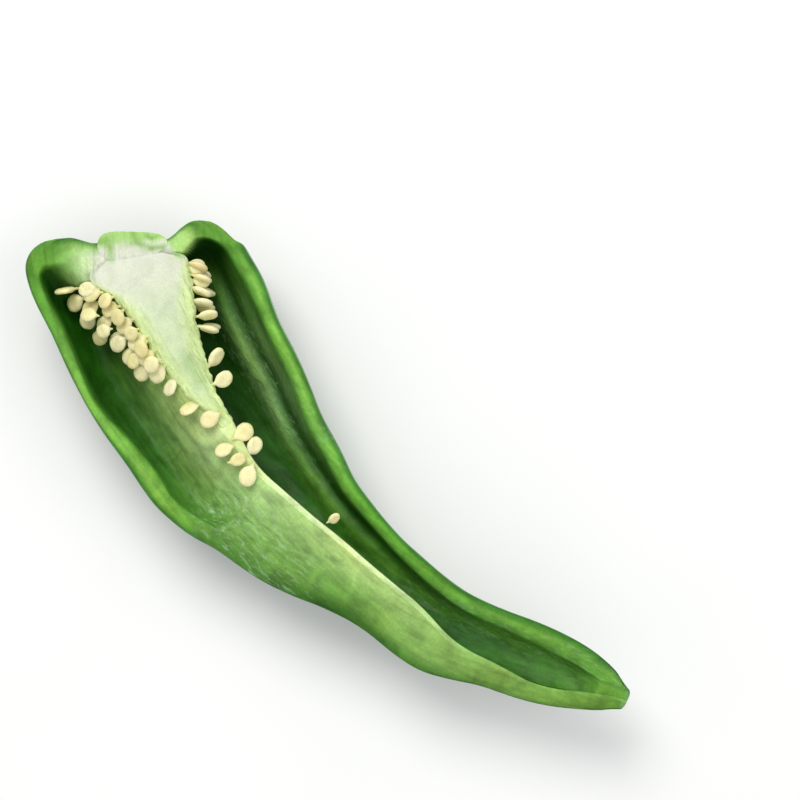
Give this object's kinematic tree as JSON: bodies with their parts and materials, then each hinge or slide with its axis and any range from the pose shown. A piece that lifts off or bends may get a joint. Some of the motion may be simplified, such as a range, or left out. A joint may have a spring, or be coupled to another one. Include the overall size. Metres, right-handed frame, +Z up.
{
  "type": "halved green pepper",
  "caption": "Half of a long tapered green pepper cut lengthwise: two open chambers, a rib between them, a pale core with flat seeds at the stem end, and the cut stem base.",
  "frame": {"origin": "middle of the half's footprint, on the surface it rests on", "axes": "+X from the stem end to the tip, +Z up out of the cut face, +Y across the cut face"},
  "size_m": [0.1636, 0.055, 0.0249],
  "materials": {
    "pepper_green": "glossy skin outside, moist pale green cut rim and darker moist inner walls",
    "core_white": "moist, fibrous white core turning yellow-green at its edges",
    "stem_green": "cut pale green stem base",
    "seed_cream": "smooth cream seeds, some browner"
  },
  "bodies": {
    "root": {"pepper_flesh": "pepper_green", "placenta_core": "core_white", "stem_base": "stem_green", "upper_left_seed_1": "seed_cream", "upper_left_seed_2": "seed_cream", "upper_left_seed_3": "seed_cream", "upper_left_seed_4": "seed_cream", "upper_left_seed_5": "seed_cream", "upper_left_seed_6": "seed_cream", "middle_left_seed_1": "seed_cream", "middle_left_seed_2": "seed_cream", "middle_left_seed_3": "seed_cream", "middle_left_seed_4": "seed_cream", "middle_left_seed_5": "seed_cream", "lower_left_seed_1": "seed_cream", "lower_left_seed_2": "seed_cream", "lower_left_seed_3": "seed_cream", "upper_right_seed_1": "seed_cream", "upper_right_seed_2": "seed_cream", "upper_right_seed_3": "seed_cream", "upper_right_seed_4": "seed_cream", "upper_right_seed_5": "seed_cream", "upper_right_seed_6": "seed_cream", "lower_right_seed_1": "seed_cream", "lower_right_seed_2": "seed_cream", "lower_right_seed_3": "seed_cream", "lower_right_seed_4": "seed_cream", "rib_seed_1": "seed_cream", "rib_seed_2": "seed_cream", "rib_seed_3": "seed_cream", "rib_seed_4": "seed_cream", "rib_seed_5": "seed_cream", "rib_seed_6": "seed_cream", "rib_seed_7": "seed_cream", "rib_seed_8": "seed_cream", "rib_seed_9": "seed_cream", "rib_seed_10": "seed_cream", "rib_seed_11": "seed_cream", "rib_seed_12": "seed_cream"}
  },
  "joints": []
}
